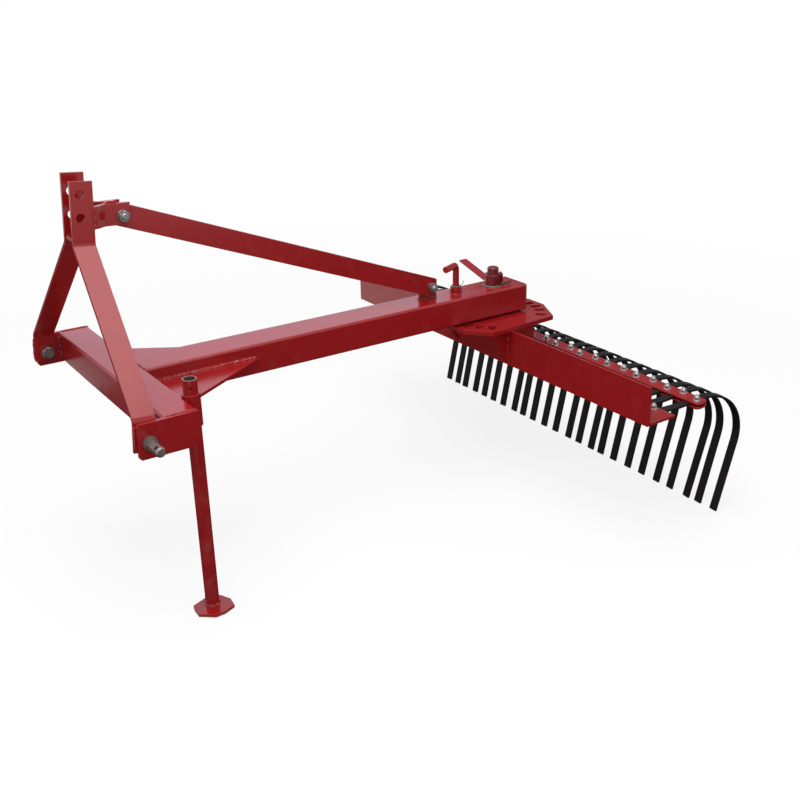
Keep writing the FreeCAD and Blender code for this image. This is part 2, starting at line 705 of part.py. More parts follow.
def tine(x, stray):
    """Spring tine: from the beam's flange up through the clamp bars, then bent over and down.

    It is turned a little in its plane, until its point strays this far from its place across.
    """
    rise, fall = radians(TINE_RISE), radians(TINE_BEND)
    start = Vector(x, flange_rear - TINE_UNDER_FLANGE, tine_middle)
    kink = rise_start + ACROSS * x
    uphill = Vector(0, cos(rise), sin(rise))
    heading = Vector(0, cos(fall), -sin(fall))
    bend_start = kink + uphill * ((TINE_BEND_START - TINE_RISE_START) / cos(rise))
    setback = TINE_BEND_RADIUS * tan((rise + fall) / 2)
    corner = bend_start + uphill * setback
    path = [start, kink, corner, corner + heading * (setback + TINE_POINT_LENGTH)]
    bar = flat_bar(path, TINE_BEND_RADIUS, ACROSS, TINE_WIDTH, TINE_THICK)
    held = Vector(x, pivot_y + TINE_TURNED_AT, tine_middle)
    bar.rotate(held, uphill.cross(ACROSS), degrees(atan2(stray, path[-1].y - held.y)))
    return bar


def clamp_bar(offset):
    """Flat bar across all the tines, with clipped corners, this far above their middle."""
    half, clip = CLAMP_BAR_LENGTH / 2, CLAMP_BAR_CLIP
    front, rear = clamp_bar_y - CLAMP_BAR_WIDTH / 2, clamp_bar_y + CLAMP_BAR_WIDTH / 2
    side = [(half - clip, front), (half, front + clip), (half, rear - clip), (half - clip, rear)]
    outline = side + [(-x, y) for x, y in reversed(side)]
    bar = upright(outline, tine_middle + offset, tine_middle + offset + CLAMP_BAR_THICK)
    bar.rotate(rise_start, ACROSS, TINE_RISE)
    return bar


def level_machine():
    """Every piece by name, in the machine's own level frame."""
    ear_face = BRACE_THICK / 2 + EAR_THICK
    pieces = {
        "crossbar": crossbar(),
        "end_plate_left": end_plate(),
        "end_plate_right": mirrored(end_plate()),
        "hitch_pin_left": hitch_pin(),
        "hitch_pin_right": mirrored(hitch_pin()),
        "hitch_nut_left": hitch_nut(),
        "hitch_nut_right": mirrored(hitch_nut()),
        "mast_strap_left": mast_strap(MAST_TOP_LEFT),
        "mast_strap_right": mirrored(mast_strap(MAST_TOP_RIGHT)),
        "mast_spacer": mast_spacer(),
        "brace_ear_left": brace_ear(EAR_REACH_LEFT, EAR_DROOP_LEFT),
        "brace_ear_right": mirrored(brace_ear(EAR_REACH_RIGHT, EAR_DROOP_RIGHT)),
        "brace": brace(),
        "brace_bolt_upper": brace_bolt(BRACE_TOP_BOLT, ear_face, -ear_face),
        "brace_bolt_lower": brace_bolt(BRACE_LOW_BOLT, BRACE_THICK / 2, -BRACE_THICK / 2 - BOOM_LUG_THICK),
        "boom_lug": boom_lug(),
        "boom": boom(),
        "boom_cap": boom_cap(),
        "gusset_left": gusset(),
        "gusset_right": mirrored(gusset()),
        "stand_sleeve": stand_sleeve(),
        "pivot_stud": pivot_stud(),
        "pivot_spacer": pivot_spacer(),
        "pivot_washer": pivot_washer(),
        "pivot_nut": pivot_nut(),
        "clamp_lever": clamp_lever(),
        "index_boss": index_boss(),
        "index_pin": index_pin(),
        "stand_leg": stand_leg(),
        "stand_foot": stand_foot(),
        "turning_plate": turning_plate(),
        "front_web_left": front_web(),
        "front_web_right": mirrored(front_web()),
        "rear_web_left": rear_web(),
        "rear_web_right": mirrored(rear_web()),
        "rake_beam": beam(),
        "clamp_bar_upper": clamp_bar(TINE_THICK / 2),
        "clamp_bar_lower": clamp_bar(-TINE_THICK / 2 - CLAMP_BAR_THICK),
    }
    middle = (len(TINE_STRAYS) - 1) / 2
    tines = [tine((k - middle) * TINE_PITCH, stray) for k, stray in enumerate(TINE_STRAYS)]
    for first in range(0, len(tines), TINES_PER_GROUP):
        group = tines[first:first + TINES_PER_GROUP]
        pieces[f"tines_{first // TINES_PER_GROUP + 1}"] = Part.makeCompound(group)
    return pieces


def parked(pieces):
    """The machine tipped onto its foot and tine tips, centred over the origin."""
    sole_rear = sleeve_y + max(y for _, y in FOOT_CORNERS)
    tip = max(pieces["tines_1"].Vertexes, key=lambda v: -v.Z).Point
    tilt = degrees(atan2(STAND_REACH + tip.z, tip.y - sole_rear))
    spin = FreeCAD.Placement(Vector(), FreeCAD.Rotation(ACROSS, -tilt))
    turned = {name: placed(shape, spin) for name, shape in pieces.items()}
    box = FreeCAD.BoundBox()
    for shape in turned.values():
        box.add(shape.optimalBoundingBox(False, False))
    shift = FreeCAD.Placement(Vector(-box.Center.x, -box.Center.y, -box.ZMin), FreeCAD.Rotation())
    return {name: placed(shape, shift) for name, shape in turned.items()}, shift.multiply(spin), tilt


def placed(shape, placement):
    """A copy of a shape, moved by a placement, with the move worked into its geometry."""
    return shape.transformed(placement.toMatrix(), True)


def main():
    """Build every piece, write one file for each, and print how the level frame was moved."""
    os.makedirs("parts", exist_ok=True)
    pieces, placement, tilt = parked(level_machine())
    for name, shape in pieces.items():
        shape.exportStep(f"parts/{name}.step")
    print("tipped back", tilt, "degrees, level frame's zero at", placement.Base)


main()
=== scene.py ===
"""Looks of a landscape rake for a three-point hitch, parked on its stand.

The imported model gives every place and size. Pieces are drawn in the machine's own level frame: X across,
Y from the tractor to the rear, Z up, in metres, with zero at the boom's centre plane and at the crossbar's
front and top faces. The floor frame is the one that the model is packed in.
"""
from __future__ import annotations

import json
import logging
import math
from dataclasses import dataclass
from enum import Enum
from random import Random
from typing import Iterator, Sequence

import bmesh
import bpy
from mathutils import Matrix, Vector

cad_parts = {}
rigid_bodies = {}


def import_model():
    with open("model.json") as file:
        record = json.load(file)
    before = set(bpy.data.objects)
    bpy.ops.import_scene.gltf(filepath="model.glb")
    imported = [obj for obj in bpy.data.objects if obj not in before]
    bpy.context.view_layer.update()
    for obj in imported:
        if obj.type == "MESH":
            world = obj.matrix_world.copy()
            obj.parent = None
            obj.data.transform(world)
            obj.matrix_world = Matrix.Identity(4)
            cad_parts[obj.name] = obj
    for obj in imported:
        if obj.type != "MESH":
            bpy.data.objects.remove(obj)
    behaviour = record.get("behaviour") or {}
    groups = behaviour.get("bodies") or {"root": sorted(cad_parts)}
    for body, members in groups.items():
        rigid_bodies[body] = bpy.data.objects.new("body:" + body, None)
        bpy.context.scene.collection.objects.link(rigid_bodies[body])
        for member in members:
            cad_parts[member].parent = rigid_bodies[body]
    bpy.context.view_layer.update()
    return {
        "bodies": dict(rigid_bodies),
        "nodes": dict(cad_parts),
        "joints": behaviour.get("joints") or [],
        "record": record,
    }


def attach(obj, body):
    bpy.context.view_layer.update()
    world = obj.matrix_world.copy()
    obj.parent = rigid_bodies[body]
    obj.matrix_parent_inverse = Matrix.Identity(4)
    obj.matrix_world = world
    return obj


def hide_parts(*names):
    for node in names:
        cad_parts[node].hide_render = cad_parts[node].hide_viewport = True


log = logging.getLogger("landscape_rake")

Triple = tuple[float, float, float]
Colour = Triple
Number = int | float
MM = 0.001
WHITE: Colour = (1.0, 1.0, 1.0)


class Slot(Enum):
    """The record's finishes, passed along with drawn pieces."""

    RED = "red_enamel"
    ZINC = "zinc_plate"
    STEEL = "pin_steel"


class Body(Enum):
    """Bodies that move against each other."""

    FRAME = "frame"
    HEAD = "rake_head"
    STAND = "stand"


# Shader maths


@dataclass(frozen=True)
class Signal:
    """One output of a shader node, on which sums are written as plain expressions."""

    graph: Graph
    socket: bpy.types.NodeSocket

    def _math(self, operation: str, *terms: Number | Signal) -> Signal:
        """Add one Math node over these terms."""
        return self.graph.node("Math", {"operation": operation}, dict(enumerate(terms)))

    def __add__(self, other: Number | Signal) -> Signal:
        """Sum."""
        return self._math("ADD", self, other)

    def __sub__(self, other: Number | Signal) -> Signal:
        """Difference."""
        return self._math("SUBTRACT", self, other)

    def __rsub__(self, other: Number) -> Signal:
        """Difference from a number."""
        return self._math("SUBTRACT", other, self)

    def __mul__(self, other: Number | Signal) -> Signal:
        """Product."""
        return self._math("MULTIPLY", self, other)

    def __pow__(self, other: Number) -> Signal:
        """Power."""
        return self._math("POWER", self, other)

    def __or__(self, other: Signal) -> Signal:
        """The larger of two masks."""
        return self._math("MAXIMUM", self, other)

    def step(self, low: float, high: float) -> Signal:
        """Smooth mask that goes from 0 at low to 1 at high."""
        settings = {"interpolation_type": "SMOOTHSTEP", "clamp": True}
        return self.graph.node("MapRange", settings, {"Value": self, "From Min": low, "From Max": high})


SocketValue = Number | Triple | Vector | Signal


class Graph:
    """The nodes of one material or of the world."""

    def __init__(self, tree: bpy.types.NodeTree) -> None:
        """Start from an empty tree."""
        self.tree = tree
        tree.nodes.clear()

    def node(
        self, kind: str, settings: dict[str, object] | None = None,
        sockets: dict[str | int, SocketValue] | None = None, output: str | int = 0,
    ) -> Signal:
        """Add a node.

        Args:
            kind: the node's type, without "ShaderNode".
            settings: its own settings, set first.
            sockets: a value or a link for each input, by name or number.
            output: the output that is returned.

        Returns:
            The chosen output.
        """
        made = self.tree.nodes.new(f"ShaderNode{kind}")
        for key, value in (settings or {}).items():
            setattr(made, key, value)
        for key, value in (sockets or {}).items():
            if isinstance(value, Signal):
                self.tree.links.new(value.socket, made.inputs[key])
            else:
                socket = made.inputs[key]
                socket.default_value = (*value, 1.0) if socket.type == "RGBA" else value
        return Signal(self, made.outputs[output]) if len(made.outputs) else Signal(self, made.inputs[0])

    def place(self) -> Signal:
        """Place on the piece at rest, in metres."""
        return self.node("TexCoord", output="Object")

    def seen(self) -> Signal:
        """1 for rays from the camera, in reflections or through glass, and 0 for diffuse light."""
        kinds = ("Camera", "Glossy", "Transmission")
        camera, glossy, through = (self.node("LightPath", output=f"Is {kind} Ray") for kind in kinds)
        return camera | glossy | through

    def along(self, direction: Vector, zero: Vector) -> Signal:
        """How far a place lies along a direction from a zero."""
        offset = self.node("VectorMath", {"operation": "SUBTRACT"}, {0: self.place(), 1: zero})
        return self.node("VectorMath", {"operation": "DOT_PRODUCT"}, {0: offset, 1: direction}, "Value")

    def noise(self, size: float, detail: float, stretch: Triple = (1.0, 1.0, 1.0)) -> Signal:
        """Cloudy noise around 0.5, in patches of this size, which stretch packs closer along an axis."""
        place = self.node("VectorMath", {"operation": "MULTIPLY"}, {0: self.place(), 1: stretch})
        return self.node("TexNoise", None, {"Vector": place, "Scale": 1.0 / size, "Detail": detail})

    def blend(self, factor: Signal, one: SocketValue, other: SocketValue) -> Signal:
        """Mix two colours, from one at 0 to the other at 1."""
        settings = {"data_type": "RGBA", "clamp_factor": True}
        return self.node("Mix", settings, {0: factor, 6: one, 7: other}, 2)

    def bump(self, height: Signal, depth: float, strength: float = 1.0) -> Signal:
        """Normal over a height signal that stands this deep, in metres."""
        return self.node("Bump", None, {"Height": height, "Distance": depth, "Strength": strength})

    def surface(self, sockets: dict[str | int, SocketValue]) -> None:
        """End the tree in one Principled shader with these inputs."""
        shader = self.node("BsdfPrincipled", None, sockets)
        self.node("OutputMaterial", None, {"Surface": shader})


def new_material(name: str) -> tuple[bpy.types.Material, Graph]:
    """A new material and its empty graph."""
    made = bpy.data.materials.new(name)
    made.use_nodes = True
    return made, Graph(made.node_tree)


def linked(name: str, data: bpy.types.ID) -> bpy.types.Object:
    """A new object in the scene."""
    made = bpy.data.objects.new(name, data)
    bpy.context.scene.collection.objects.link(made)
    return made


@dataclass(frozen=True)
class Finish:
    """A finish that makes its own material, once."""

    name: str
    colour: Colour

    def dress(self, graph: Graph) -> None:
        """Build the nodes."""
        raise NotImplementedError

    def material(self) -> bpy.types.Material:
        """Find or make the material.

        Returns:
            The finish's material.
        """
        label = f"finish_{self.name}"
        found = bpy.data.materials.get(label)
        if found is None:
            found, graph = new_material(label)
            self.dress(graph)
        return found


@dataclass(frozen=True)
class Enamel(Finish):
    """Sprayed enamel over steel, with faint blotches, orange peel and a little dust."""

    deep: Colour
    blotch_size: float = 0.12
    dust: Colour = (0.30, 0.20, 0.17)
    dust_share: float = 0.10
    dust_size: float = 0.035
    speck_size: float = 2.2 * MM
    roughness: float = 0.2
    gloss: float = 0.5
    peel_size: float = 4.5 * MM
    peel_depth: float = 0.05 * MM
    lump_size: float = 0.0
    lump_depth: float = 0.0

    def paint(self, graph: Graph) -> tuple[Signal, Signal, Signal]:
        """Build the coat's nodes.

        Args:
            graph: the material's nodes.

        Returns:
            Colour, roughness and height of the coat.
        """
        blotches = graph.noise(self.blotch_size, 4.0).step(0.35, 0.68)
        specks = graph.noise(self.speck_size, 2.0).step(0.66, 0.74)
        settled = graph.noise(self.dust_size, 5.0).step(0.48, 0.75) * self.dust_share
        colour = graph.blend(blotches, self.colour, self.deep)
        colour = graph.blend(settled + specks * (0.5 * self.dust_share), colour, self.dust)
        rough = graph.noise(0.02, 3.0) * 0.10 + (self.roughness - 0.05) + settled * 0.9
        height = graph.noise(self.peel_size, 1.0)
        if self.lump_size:
            height = height + graph.noise(self.lump_size, 3.0) * (self.lump_depth / self.peel_depth)
        return colour, rough, height

    def dress(self, graph: Graph) -> None:
        """Build the coat's surface.

        Args:
            graph: the material's nodes.
        """
        colour, rough, height = self.paint(graph)
        graph.surface({
            "Base Color": colour, "Roughness": rough, "Normal": graph.bump(height, self.peel_depth),
            "Specular IOR Level": self.gloss,
        })


@dataclass(frozen=True)
class RustyBore(Enamel):
    """Enamel outside a tube, bare rusty steel inside its bore and a worn rim."""

    zero: Triple = (0.0, 0.0, 0.0)
    axis: Triple = (0.0, 0.0, 1.0)
    bore: float = 0.0
    rim_height: float = 0.0
    rust: Colour = (0.11, 0.055, 0.04)
    dark_rust: Colour = (0.05, 0.03, 0.028)
    rust_size: float = 6.0 * MM
    worn: Colour = (0.24, 0.17, 0.15)

    def paint(self, graph: Graph) -> tuple[Signal, Signal, Signal]:
        """Build the coat, the bore and the rim.

        Args:
            graph: the material's nodes.

        Returns:
            Colour, roughness and height of them all.
        """
        colour, rough, height = super().paint(graph)
        axis, zero = Vector(self.axis), Vector(self.zero)
        x, y = graph.along(ACROSS, zero), graph.along(axis.cross(ACROSS), zero)
        radius = (x ** 2 + y ** 2) ** 0.5
        rise = graph.along(axis, zero)
        inside = 1.0 - radius.step(self.bore + 0.2 * MM, self.bore + 0.6 * MM)
        rim = rise.step(self.rim_height - 1.2 * MM, self.rim_height - 0.2 * MM)
        stained = graph.blend(graph.noise(self.rust_size, 5.0).step(0.3, 0.7), self.rust, self.dark_rust)
        colour = graph.blend(rim * 0.75, colour, self.worn)
        return graph.blend(inside, colour, stained), rough + inside * 0.5 + rim * 0.2, height


@dataclass(frozen=True)
class Metal(Finish):
    """Bare or plated steel, mottled, finely scratched and tarnished in patches."""

    shade: Colour
    tarnish: Colour
    tarnish_from: float = 0.6
    roughness: float = 0.33
    grain: float = 0.1 * MM
    mottle_size: float = 3.5 * MM
    tarnish_size: float = 11.0 * MM
    scratch_size: float = 0.5 * MM

    def dress(self, graph: Graph) -> None:
        """Build the metal.

        Args:
            graph: the material's nodes.
        """
        mottle = graph.noise(self.mottle_size, 4.0).step(0.35, 0.65)
        stained = graph.noise(self.tarnish_size, 5.0).step(self.tarnish_from, self.tarnish_from + 0.2)
        colour = graph.blend(stained, graph.blend(mottle, self.colour, self.shade), self.tarnish)
        scratches = graph.noise(self.scratch_size, 2.0, (1.0, 1.0, 8.0))
        graph.surface({
            "Base Color": colour, "Metallic": 1.0 - stained * 0.55,
            "Roughness": mottle * 0.12 + self.roughness + stained * 0.25,
            "Normal": graph.bump(scratches, self.grain, 0.5),
        })


RED = Enamel("red_enamel", (0.300, 0.0070, 0.0090), (0.280, 0.0063, 0.0082), dust_share=0.03)
WELD = Enamel(
    "red_weld", (0.310, 0.008, 0.010), (0.240, 0.006, 0.008), roughness=0.17, dust_share=0.03,
    lump_size=3.2 * MM, lump_depth=0.5 * MM,
)
DARK_RED = Enamel("dark_red_enamel", (0.140, 0.006, 0.008), (0.100, 0.005, 0.007), dust_share=0.08)
BLACK = Enamel(
    "tine_black", (0.0085, 0.0075, 0.0080), (0.0115, 0.0085, 0.0090), dust=(0.07, 0.052, 0.046),
    dust_share=0.06, roughness=0.46, gloss=0.16, peel_depth=0.07 * MM,
)
NUT = Metal(
    "zinc_nut", (0.66, 0.65, 0.65), (0.45, 0.44, 0.44), (0.22, 0.19, 0.17), tarnish_from=0.56, roughness=0.28,
)
ZINC = Metal("zinc_plate", (0.36, 0.345, 0.335), (0.24, 0.23, 0.225), (0.16, 0.14, 0.12), roughness=0.4)
STEEL = Metal(
    "pin_steel", (0.34, 0.29, 0.28), (0.24, 0.20, 0.19), (0.13, 0.085, 0.07), tarnish_from=0.5,
    roughness=0.42,
)


# Meshes


ACROSS, REAR, UP = Vector((1, 0, 0)), Vector((0, 1, 0)), Vector((0, 0, 1))
TURNED_FLAT = 0.96
TURNED_SLOPE = 0.577
BEAD_STRIDE = 2.4 * MM


class LevelFrame:
    """The machine's level axes in the floor frame, and its nodes measured along them."""

    def __init__(self, frame: dict[str, object]) -> None:
        """Find the axes from the head's swing and zero from the crossbar.

        Args:
            frame: the loaded frame.
        """
        swing = next(joint for joint in frame["joints"] if joint["name"] == "head_swing")
        self.nodes: dict[str, bpy.types.Object] = frame["nodes"]
        self.up = Vector(swing["axis"]).normalized()
        rear = self.up.cross(ACROSS)
        self.turn = Matrix((ACROSS, rear, self.up)).transposed()
        self.zero = Vector()
        low, high = self.box("crossbar")
        self.zero = rear * low.y + self.up * high.z
        self.pivot_y = self.level(Vector(swing["pos_m"])).y

    def level(self, point: Vector) -> Vector:
        """A floor-frame point in level metres."""
        return self.turn.transposed() @ (point - self.zero)

    def world(self, point: Vector) -> Vector:
        """A level point in the floor frame."""
        return self.turn @ point + self.zero

    def points(self, node: str) -> list[Vector]:
        """A node's vertices in level metres."""
        return [self.level(vertex.co) for vertex in self.nodes[node].data.vertices]

    def box(self, node: str) -> tuple[Vector, Vector]:
        """A node's lowest and highest corners along the level axes."""
        points = self.points(node)
        low, high = (Vector(pick(p[k] for p in points) for k in range(3)) for pick in (min, max))
        return low, high

    def flat_top(self, node: str) -> tuple[Vector, Vector]:
        """Find the upper side of a flat node.

        Args:
            node: the node.

        Returns:
            The middle of its upward faces, and the direction of the largest.
        """
        mesh = self.nodes[node].data
        upward = [face for face in mesh.polygons if face.normal.dot(self.up) > 0.9]
        area = sum(face.area for face in upward)
        normal = self.turn.transposed() @ max(upward, key=lambda face: face.area).normal
        middle = sum((self.level(face.center) * face.area for face in upward), Vector()) / area
        return middle, normal.normalized()

    def islands(self, node: str) -> list[list[Vector]]:
        """Take a node apart.

        Args:
            node: the node.

        Returns:
            The level points of each of its loose parts.
        """
        mesh = bmesh.new()
        mesh.from_mesh(self.nodes[node].data)
        bmesh.ops.remove_doubles(mesh, verts=mesh.verts, dist=0.01 * MM)
        waiting, parts = set(mesh.verts), []
        while waiting:
            reached, rim = set(), [next(iter(waiting))]
            while rim:
                vertex = rim.pop()
                if vertex not in reached:
                    reached.add(vertex)
                    rim.extend(edge.other_vert(vertex) for edge in vertex.link_edges)
            waiting -= reached
            parts.append([self.level(vertex.co) for vertex in reached])
        mesh.free()
        return parts


class Draft:
    """Faces gathered for one piece, in level metres."""

    def __init__(self) -> None:
        """Start with nothing."""
        self.points: list[Vector] = []
        self.faces: list[list[int]] = []

    def rings(self, rings: Sequence[Sequence[Vector]], closed: bool = False) -> None:
        """Skin a row of rings; a ring of one point closes an end.

        Args:
            rings: rings with the same number of points, or single points.
            closed: also joins the last ring to the first.
        """
        starts = []
        for ring in rings:
            starts.append(len(self.points))
            self.points.extend(ring)
        for a in range(len(rings) if closed else len(rings) - 1):
            b = (a + 1) % len(rings)
            one, other = len(rings[a]), len(rings[b])
            for k in range(max(one, other)):
                near = [starts[a] + k % one, starts[a] + (k + 1) % one]
                far = [starts[b] + (k + 1) % other, starts[b] + k % other]
                self.faces.append(list(dict.fromkeys(near + far)))

    def revolve(
        self, profile: Sequence[tuple[float, float]], centre: Vector, axis: Vector, steps: int,
        closed: bool = False,
    ) -> None:
        """Turn a profile of (radius, height) about an axis; a radius of 0 closes an end.

        Args:
            profile: radius and height of each ring.
            centre: where height is 0.
            axis: direction of height.
            steps: points around.
            closed: joins the last ring to the first.
        """
        side, other = square_to(axis)
        self.rings([
            circle(centre + axis * height, side, other, radius, steps if radius > 0 else 1)
            for radius, height in profile
        ], closed)

    def hexagon(self, centre: Vector, axis: Vector, across: float, thick: float, bore: float = 0.0) -> None:
        """A hexagon nut, or without a bore a bolt's head, with its corners turned off.

        Args:
            centre: middle of the face that it stands on.
            axis: direction of its thickness.
            across: width over its flats.
            thick: thickness.
            bore: radius of its hole.
        """
        side, other = square_to(axis)
        steps, sixth = 36, math.tau / 6
        flat = across / 2 * TURNED_FLAT
        low, high = [], []
        for k in range(steps):
            angle = math.tau * k / steps
            reach = across / 2 / math.cos((angle + sixth / 2) % sixth - sixth / 2)
            spoke = side * math.cos(angle) + other * math.sin(angle)
            drop = (reach - flat) * TURNED_SLOPE
            low.append(centre + spoke * reach + axis * (drop if bore else 0.0))
            high.append(centre + spoke * reach + axis * (thick - drop))

        def ring(radius: float, height: float) -> list[Vector]:
            """Points around the axis."""
            return circle(centre + axis * height, side, other, radius, steps)

        if bore:
            lead = bore * 0.1
            self.rings([
                ring(bore, lead), ring(bore + lead, 0.0), ring(flat, 0.0), low, high, ring(flat, thick),
                ring(bore + lead, thick), ring(bore, thick - lead),
            ], True)
        else:
            self.rings([[centre], low, high, ring(flat, thick), [centre + axis * thick]])

    def tube(self, line: Sequence[Vector], radii: Sequence[float], steps: int = 8) -> None:
        """A closed tube along a line.

        Args:
            line: points on its axis.
            radii: its radius at each of them.
            steps: points around.
        """
        side, _ = square_to((line[1] - line[0]).normalized())
        rings = [[line[0]]]
        for k, (point, radius) in enumerate(zip(line, radii)):
            ahead, behind = line[min(k + 1, len(line) - 1)], line[max(k - 1, 0)]
            run = (ahead - behind).normalized()
            side = (side - run * side.dot(run)).normalized()
            rings.append(circle(point, side, run.cross(side), radius, steps))
        self.rings([*rings, [line[-1]]])

    def bead(self, line: Sequence[Triple | Vector], radius: float, seed: int) -> None:
        """A lumpy weld bead along a seam.

        Args:
            line: corners of the seam.
            radius: its usual radius.
            seed: choice of its lumps.
        """
        chance = Random(seed)
        points = list(walk([Vector(corner) for corner in line], BEAD_STRIDE))
        size, wave = 1.0, chance.random() * math.tau
        radii, middle = [], []
        for k, point in enumerate(points):
            size += (chance.uniform(0.80, 1.24) - size) * 0.45
            lump = 0.12 * math.sin(wave + k * 0.83) + 0.08 * math.sin(wave * 3 + k * 1.9)
            end = min(1.0, 0.45 + 0.3 * min(k, len(points) - 1 - k))
            radii.append(radius * (size + lump) * end)
            shake = Vector(chance.uniform(-1, 1) for _ in range(3)) * (radius * 0.10)
            middle.append(point + shake)
        self.tube(middle, radii)


def square_to(axis: Vector) -> tuple[Vector, Vector]:
    """Two directions square to an axis and to each other."""
    side = (UP if abs(axis.z) < 0.9 else REAR).cross(axis).normalized()
    return side, axis.cross(side).normalized()


def circle(centre: Vector, side: Vector, other: Vector, radius: float, steps: int) -> list[Vector]:
    """Points around a centre, at this radius from side on by way of other."""
    turns = (math.tau * k / steps for k in range(steps))
    return [centre + (side * math.cos(t) + other * math.sin(t)) * radius for t in turns]


def walk(corners: Sequence[Vector], stride: float) -> Iterator[Vector]:
    """Go along straight runs at an even stride.

    Args:
        corners: the ends of the runs.
        stride: about how far apart the points lie.

    Yields:
        The points.
    """
    for start, end in zip(corners, corners[1:]):
        count = max(1, round((end - start).length / stride))
        for k in range(count):
            yield start.lerp(end, k / count)
    yield corners[-1]


def arc(centre: Vector, side: Vector, other: Vector, start: float, end: float, steps: int) -> list[Vector]:
    """Points on an arc between two angles in degrees; side and other are its radii at 0 and 90."""
    angles = (math.radians(start + (end - start) * k / steps) for k in range(steps + 1))
    return [centre + side * math.cos(a) + other * math.sin(a) for a in angles]


def at(x: float, y: float, z: float) -> Vector:
    """A level point or direction."""
    return Vector((x, y, z))


# Sub-assemblies


LEFT_RIGHT = (("left", 1), ("right", -1))


@dataclass
class SubAssembly:
    """Pieces drawn or dressed in the machine's level frame."""

    level: LevelFrame

    def piece(
        self, name: str, draft: Draft, body: Body = Body.FRAME, slot: Slot = Slot.RED, finish: Finish = WELD,
        sharp: float = 32.0,
    ) -> bpy.types.Object:
        """Turn a draft into a piece of the object, by default a weld of the frame.

        Args:
            name: the piece's name.
            draft: its faces.
            body: the body that it rides on.
            slot: the record's finish; not used.
            finish: what it is dressed in.
            sharp: angle above which an edge stays sharp.

        Returns:
            The piece.
        """
        mesh = bpy.data.meshes.new(name)
        mesh.from_pydata([self.level.world(p) for p in draft.points], [], draft.faces)
        mesh.validate()
        mesh.shade_smooth()
        mesh.set_sharp_from_angle(angle=math.radians(sharp))
        mesh.materials.append(finish.material())
        made = linked(name, mesh)
        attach(made, body.value)
        log.info("%s: %d faces on %s", name, len(mesh.polygons), body.value)
        return made


@dataclass(frozen=True)
class EasedEdges:
    """Modifiers that round a rigid node's edges for the light to catch."""

    width: float = 1.0 * MM
    steps: int = 2
    angle: float = 28.0
    merge: float = 0.02 * MM
    flat: float = 0.6

    def smooth_group(self) -> bpy.types.NodeTree:
        """Find or make the node group that shades faces smooth.

        Returns:
            The group.
        """
        found = bpy.data.node_groups.get("smooth_faces")
        if found:
            return found
        group = bpy.data.node_groups.new("smooth_faces", "GeometryNodeTree")
        for way in ("INPUT", "OUTPUT"):
            group.interface.new_socket("Geometry", in_out=way, socket_type="NodeSocketGeometry")
        enter, leave = group.nodes.new("NodeGroupInput"), group.nodes.new("NodeGroupOutput")
        smooth = group.nodes.new("GeometryNodeSetShadeSmooth")
        group.links.new(enter.outputs[0], smooth.inputs[0])
        group.links.new(smooth.outputs[0], leave.inputs[0])
        return group

    def apply(self, node: bpy.types.Object) -> None:
        """Add the modifiers.

        Args:
            node: the node that gets them.
        """
        for kind, settings in (
            ("WELD", {"merge_threshold": self.merge}),
            ("DECIMATE", {
                "decimate_type": "DISSOLVE", "angle_limit": math.radians(self.flat), "delimit": {"MATERIAL"},
            }),
            ("BEVEL", {
                "width": self.width, "segments": self.steps, "limit_method": "ANGLE",
                "angle_limit": math.radians(self.angle), "use_clamp_overlap": True,
            }),
            ("NODES", {"node_group": self.smooth_group()}),
            ("WEIGHTED_NORMAL", {"keep_sharp": True, "weight": 80}),
        ):
            made = node.modifiers.new(kind.lower(), kind)
            for key, value in settings.items():
                setattr(made, key, value)


@dataclass
class Carried(SubAssembly):
    """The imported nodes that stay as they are, each in its finish."""

    leg_wall: float = 2.9 * MM
    fine_edge: float = 0.6 * MM
    fine_nodes: tuple = ("tines", "pivot_washer", "stand_leg", "stand_sleeve")

    def leg(self) -> RustyBore:
        """Size the finish of the stand's leg, an open upright tube.

        Returns:
            The finish.
        """
        sleeve_low, sleeve_high = self.level.box("stand_sleeve")
        low, high = self.level.box("stand_leg")
        middle = (sleeve_low + sleeve_high) / 2
        return RustyBore(
            "leg_enamel", RED.colour, RED.deep, zero=tuple(self.level.world(at(middle.x, middle.y, 0))),
            axis=tuple(self.level.up), bore=(high.x - low.x) / 2 - self.leg_wall, rim_height=high.z,
        )

    def build(self) -> None:
        """Give every node its finish and its eased edges."""
        special: dict[str, Finish] = {
            "stand_leg": self.leg(), "pivot_washer": ZINC, "pivot_stud": DARK_RED,
            "hitch_pin_left": STEEL, "hitch_pin_right": STEEL,
        }
        plain, fine = EasedEdges(), EasedEdges(self.fine_edge)
        for name in sorted(self.level.nodes):
            node = self.level.nodes[name]
            finish = special.get(name, BLACK if name.startswith("tines") else RED)
            for slot in node.material_slots:
                slot.material = finish.material()
            (fine if name.startswith(self.fine_nodes) else plain).apply(node)
        log.info("dressed %d nodes", len(self.level.nodes))


